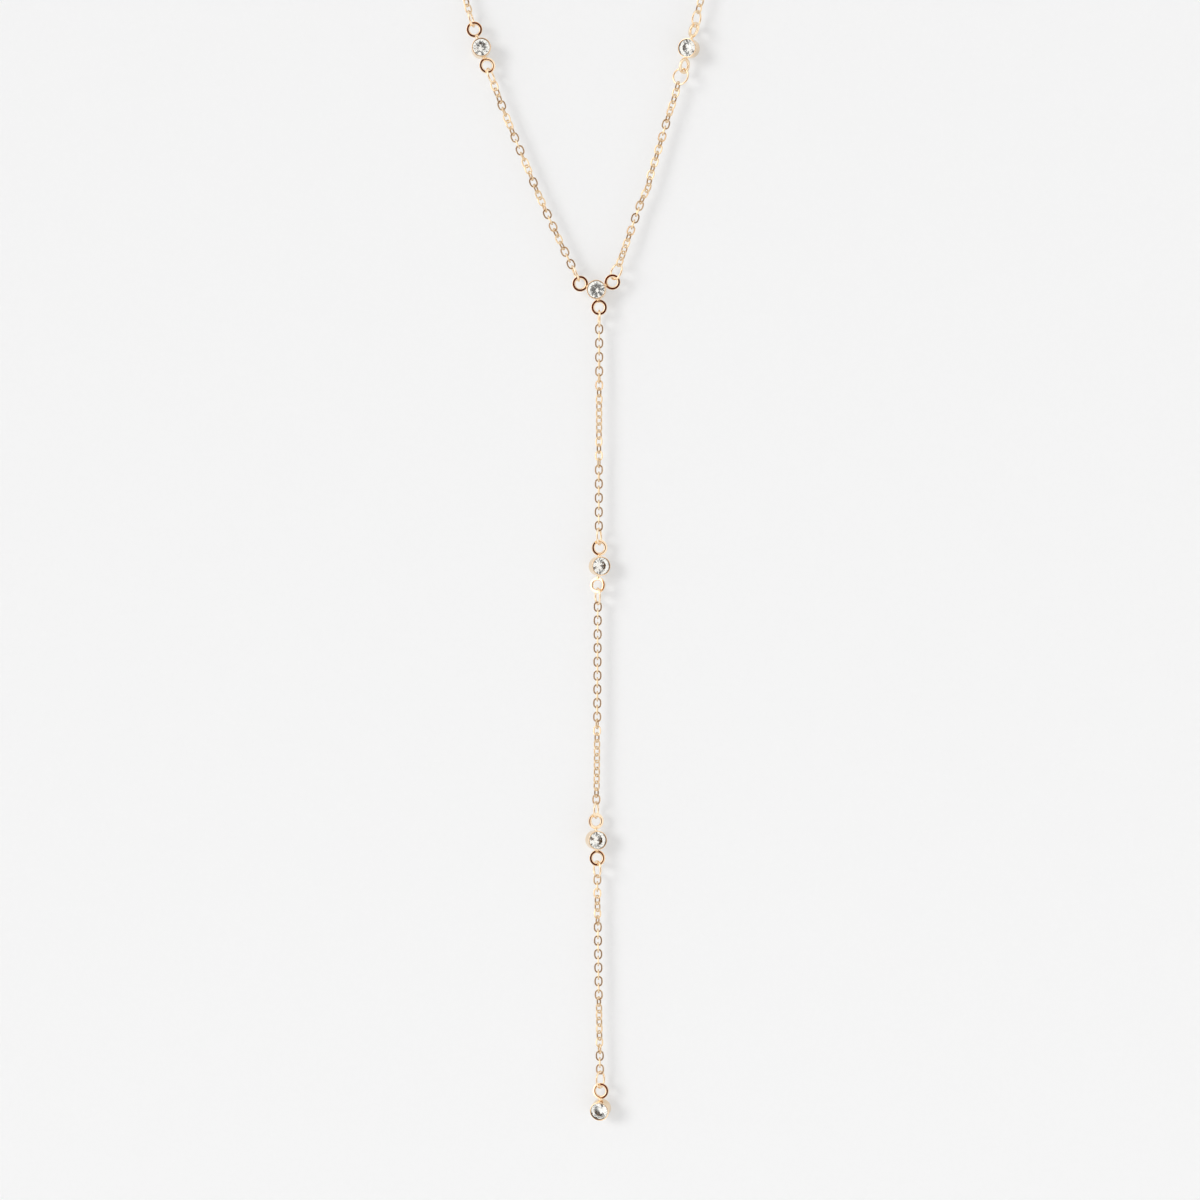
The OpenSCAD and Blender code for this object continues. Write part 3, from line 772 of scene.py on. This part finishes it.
def solder(reach):
    """Neck of solder from the cup's wall to an eye's middle line, flared at both ends: its
    radius is r (waist + flare (2t - 1)^2) for t from 0 to 1."""
    cup = sizes().cup
    foot, top = cup_radius() - cup.wall / 2, reach - (cup.eye - cup.eye_wire) / 2
    t = np.linspace(0, 1, SOLDER_ROWS)
    flare = cup.solder / 2 * (SOLDER_WAIST + SOLDER_FLARE * (2 * t - 1) ** 2)
    neck = np.column_stack((flare, foot + t * (top - foot)))
    return lathe(np.concatenate((((0, foot),), neck, ((0, top),))),
                 SOLDER_AROUND)


def setting_piece(name):
    """Cup, eyes and the solder between them; the cup is rough with painted shade from rim to
    ledge.
    """
    middle = np.array(((centre(name)[0], 0, centre(name)[1]),))
    # Faces from the rim in to the ledge that take the painted shade
    dull_shaded = slice(*(row * CUP_AROUND for row in DULL_SHADED_ROWS))
    shapes = [copies(lathe(cup_profile(), CUP_AROUND), *facing(name))]
    for way, turn, off in STATIONS[name][5]:
        lean = turned("Y", radians(way))
        out = middle + eye_reach(off) * lean[:, :, 2]
        shapes.append(copies(eye(), lean @ turned("Z", radians(turn)), out))
        shapes.append(copies(solder(eye_reach(off)), lean, middle))
    new_piece(name + "_cup", joined(*shapes), name + "_setting",
              [gold(), dull_shaded_gold()], SMOOTH, dull_shaded)


def stone_piece(name):
    """Brilliant cut on eight sides: rings of corners at the table, the stars, both edges of the
    girdle and the lower halves, whose heights the mains' planes give, and the culet."""
    stone, cup = sizes().stone, sizes().cup
    radius = stone.diameter / 2
    table_r, star_r, lower_r = (radius * share for share in (stone.table, STAR_SHARE,
                                                             LOWER_SHARE))
    top = stone.pavilion + stone.girdle
    eighth = pi / 8
    star_z = top + stone.crown * (radius - star_r * cos(eighth)) / (radius - table_r)
    lower_z = stone.pavilion * lower_r * cos(eighth) / radius

    def corners(r, z, n, first):
        a = first + 2 * pi * np.arange(n) / n
        return np.column_stack((r * np.cos(a), r * np.sin(a), np.full(n, z)))

    points = np.concatenate((
        corners(table_r, top + stone.crown, 8, 0), corners(star_r, star_z, 8, eighth),
        corners(radius, top, 16, 0), corners(radius, stone.pavilion, 16, 0),
        corners(lower_r, lower_z, 8, eighth), ((0, 0, 0),)))
    points[:, 2] += cup.floor + cup.point_gap
    table, star, upper, under, lower, culet = 0, 8, 16, 32, 48, 56
    k, g = np.arange(8), np.arange(16)
    n, b, h = (k + 1) % 8, (k + 7) % 8, (g + 1) % 16
    faces = [
        table + k[None],
        np.column_stack((table + k, star + k, table + n)),
        np.column_stack((table + k, star + b, upper + 2 * k, star + k)),
        np.column_stack((star + k, upper + 2 * k, upper + 2 * k + 1)),
        np.column_stack((star + k, upper + 2 * k + 1, upper + 2 * n)),
        np.column_stack((upper + g, under + g, under + h, upper + h)),
        np.column_stack((lower + k, under + 2 * k + 1, under + 2 * k)),
        np.column_stack((lower + k, under + 2 * n, under + 2 * k + 1)),
        np.column_stack((np.full(8, culet), lower + k, under + 2 * k, lower + b)),
    ]
    turn, spot = facing(name)
    spin = turn @ turned("Z", radians(STATIONS[name][4]))
    new_piece(name + "_cut_stone", copies((points, faces), spin, spot), name + "_stone",
              [cut_glass(), foil()], second=FOILED)


class NECKLACE_OT_front_chains(Operator):
    """Makes the five stretches of chain in front, link by link"""
    bl_idname = "necklace.front_chains"
    bl_label = "Front chains"

    def execute(self, context):
        for name, (start, end, bow, twist, *_) in STRETCHES.items():
            chain_piece(name, stretch(eye_at(*start), eye_at(*end), bow), twist,
                        FRONT_LINK)
        return {"FINISHED"}


class NECKLACE_OT_neck_chains(Operator):
    """Makes the two stretches of chain round the neck, which the solids hold as plain tubes"""
    bl_idname = "necklace.neck_chains"
    bl_label = "Neck chains"

    def execute(self, context):
        for name, (station, way, side, twist, *_) in NECK_STRETCHES.items():
            chain_piece(name, neck_route(station, way, side), twist, NECK_LINK)
        return {"FINISHED"}


class NECKLACE_OT_settings(Operator):
    """Makes the six cup settings with their soldered eyes"""
    bl_idname = "necklace.settings"
    bl_label = "Settings"

    def execute(self, context):
        for name in STATIONS:
            setting_piece(name)
        return {"FINISHED"}


class NECKLACE_OT_stones(Operator):
    """Makes the six foiled stones"""
    bl_idname = "necklace.stones"
    bl_label = "Stones"

    def execute(self, context):
        for name in STATIONS:
            stone_piece(name)
        return {"FINISHED"}


class NECKLACE_OT_rings(Operator):
    """Makes the jump rings that join the chains to the settings and to the clasp"""
    bl_idname = "necklace.rings"
    bl_label = "Jump rings"

    def execute(self, context):
        for start, end, bow, _, rings in STRETCHES.values():
            route = stretch(eye_at(*start), eye_at(*end), bow)
            for node, from_end, turn in rings:
                ring_piece(node, route, from_end, turn)
        for station, way, side, _, rings in NECK_STRETCHES.values():
            route = neck_route(station, way, side)
            for node, from_end, turn in rings:
                ring_piece(node, route, from_end, turn)
        return {"FINISHED"}


class NECKLACE_OT_clasp(Operator):
    """Makes the plain clasp: a hoop with one eye"""
    bl_idname = "necklace.clasp"
    bl_label = "Clasp"

    def execute(self, context):
        clasp_piece()
        return {"FINISHED"}


# Stage

def sheet(name, corners, backlight):
    """A flat stage sheet of paper through four corners."""
    mesh = bpy.data.meshes.new(name)
    mesh.from_pydata(corners, [], [(0, 1, 2, 3)])
    mesh.materials.append(paper(name + "_paper", backlight))
    item = bpy.data.objects.new(name, mesh)
    bpy.context.scene.collection.objects.link(item)
    return item


def lobe(nodes, links, way, towards, width, edge, low, high):
    """Socket that goes from low to high within a half angle of a direction, edge being the
    share of the angle where it starts to fall."""
    cosine = nodes.new("ShaderNodeVectorMath")
    cosine.operation = "DOT_PRODUCT"
    length = sum(c * c for c in towards) ** 0.5
    cosine.inputs[1].default_value = [c / length for c in towards]
    fall = nodes.new("ShaderNodeMapRange")
    fall.interpolation_type = "SMOOTHSTEP"
    fall.inputs["From Min"].default_value = cos(width)
    fall.inputs["From Max"].default_value = cos(width * edge)
    fall.inputs["To Min"].default_value = low
    fall.inputs["To Max"].default_value = high
    links.new(way, cosine.inputs[0])
    links.new(cosine.outputs["Value"], fall.inputs["Value"])
    return fall.outputs["Result"]


def over_half(nodes, links, value):
    """Socket that is 1 where the value is over a half, and 0 elsewhere."""
    test = nodes.new("ShaderNodeMath")
    test.operation = "GREATER_THAN"
    test.inputs[1].default_value = 0.5
    links.new(value, test.inputs[0])
    return test.outputs["Value"]


def tent():
    """Light tent that each kind of ray sees in its own way. It is even to the paper. In what
    shines it glows at the key light, and its front, where the camera looks in, is brown to
    black in metal and grey in glass. The camera itself sees it plain."""
    stage = sizes().stage
    world = bpy.data.worlds.new("tent")
    bpy.context.scene.world = world
    world.use_nodes = True
    nodes, links = world.node_tree.nodes, world.node_tree.links
    nodes.clear()
    out = nodes.new("ShaderNodeOutputWorld")
    way = nodes.new("ShaderNodeTexCoord").outputs["Generated"]
    glare = lobe(nodes, links, way, stage.light_from, GLOW, GLOW_EDGE, stage.shine, stage.glare)
    spark = lobe(nodes, links, way, stage.light_from, GLOW, GLOW_EDGE, *stage.sparkle)
    metal_front = lobe(nodes, links, way, (0, -1, 0), stage.dark, METAL_EDGE, 1, 0)
    glass_front = lobe(nodes, links, way, (0, -1, 0), stage.lens_dark, GLASS_EDGE, 1,
                       GLASS_FRONT)
    brown = nodes.new("ShaderNodeValToRGB")
    stops = brown.color_ramp.elements
    stops.remove(stops[1])
    stops[0].color = (*FRONT_BROWN[0][1], 1)
    for share, colour in FRONT_BROWN[1:]:
        stops.new(share).color = (*colour, 1)
    links.new(metal_front, brown.inputs["Fac"])
    ray = nodes.new("ShaderNodeLightPath")
    in_glass = over_half(nodes, links, ray.outputs["Transmission Depth"])
    on_paper = over_half(nodes, links, ray.outputs["Diffuse Depth"])
    front = blend(nodes, links, "RGBA", in_glass, brown.outputs["Color"], glass_front)
    colour = blend(nodes, links, "RGBA", on_paper, front, (1, 1, 1, 1))
    bright = blend(nodes, links, "FLOAT", in_glass, glare, spark)
    strength = blend(nodes, links, "FLOAT", on_paper, bright, stage.tent)
    glow = nodes.new("ShaderNodeBackground")
    links.new(colour, glow.inputs["Color"])
    links.new(strength, glow.inputs["Strength"])
    plain = nodes.new("ShaderNodeBackground")
    plain.inputs["Color"].default_value = (*stage.ground, 1)
    pick = nodes.new("ShaderNodeMixShader")
    links.new(ray.outputs["Is Camera Ray"], pick.inputs["Fac"])
    links.new(glow.outputs["Background"], pick.inputs[1])
    links.new(plain.outputs["Background"], pick.inputs[2])
    links.new(pick.outputs["Shader"], out.inputs["Surface"])


def key_light():
    """Far soft key light that only matt surfaces see; the tent's bright patch stands for it in
    what shines."""
    stage = sizes().stage
    light = bpy.data.lights.new("key", "SUN")
    light.energy = stage.key
    light.angle = stage.softness
    item = bpy.data.objects.new("key", light)
    item.rotation_mode = "QUATERNION"
    item.rotation_quaternion = Vector(stage.light_from).to_track_quat("Z", "Y")
    item.location = stage.light_from
    item.visible_glossy = False
    item.visible_transmission = False
    bpy.context.scene.collection.objects.link(item)


class NECKLACE_OT_stage(Operator):
    """Sets up the backdrop, the floor, the light tent with its key light, and the camera"""
    bl_idname = "necklace.stage"
    bl_label = "Stage"

    def execute(self, context):
        stage = sizes().stage
        low, wide, high = stage.floor, STAGE_REACH, BACKDROP_TOP
        sheet("backdrop", ((-wide, stage.gap, low), (wide, stage.gap, low),
                           (wide, stage.gap, high), (-wide, stage.gap, high)), stage.backlight)
        floor = sheet("floor", ((-wide, -wide, low), (wide, -wide, low), (wide, stage.gap, low),
                                (-wide, stage.gap, low)), stage.floor_light)
        floor.visible_glossy = False
        floor.visible_transmission = False
        tent()
        key_light()
        camera = bpy.data.cameras.new("camera")
        camera.lens = stage.lens
        item = bpy.data.objects.new("camera", camera)
        item.location = (stage.across, -stage.distance, stage.height)
        item.rotation_euler = (pi / 2, 0, 0)
        context.scene.collection.objects.link(item)
        context.scene.camera = item
        context.scene.view_settings.view_transform = "Standard"
        return {"FINISHED"}


class NECKLACE_PT_panel(Panel):
    bl_label = "Y necklace"
    bl_idname = "NECKLACE_PT_panel"
    bl_space_type = "VIEW_3D"
    bl_region_type = "UI"
    bl_category = "Necklace"

    def draw(self, context):
        layout = self.layout
        for group in ("chain", "loop", "stone", "cup", "finish", "stage"):
            box = layout.box()
            box.label(text=group.capitalize())
            settings = getattr(context.scene.necklace, group)
            for name in settings.__annotations__:
                box.prop(settings, name)
        for operator in OPERATORS:
            layout.operator(operator.bl_idname)


OPERATORS = (NECKLACE_OT_front_chains, NECKLACE_OT_neck_chains, NECKLACE_OT_settings,
             NECKLACE_OT_stones, NECKLACE_OT_rings, NECKLACE_OT_clasp, NECKLACE_OT_stage)
CLASSES = (ChainSizes, LoopSizes, StoneSizes, CupSizes, Finish, StageSettings, Necklace,
           *OPERATORS, NECKLACE_PT_panel)


def register():
    for cls in CLASSES:
        bpy.utils.register_class(cls)
    bpy.types.Scene.necklace = PointerProperty(type=Necklace)


def unregister():
    del bpy.types.Scene.necklace
    for cls in reversed(CLASSES):
        bpy.utils.unregister_class(cls)


def main():
    register()
    bpy.ops.necklace.front_chains()
    bpy.ops.necklace.neck_chains()
    bpy.ops.necklace.settings()
    bpy.ops.necklace.stones()
    bpy.ops.necklace.rings()
    bpy.ops.necklace.clasp()
    bpy.ops.necklace.stage()


if __name__ == "__main__":
    main()
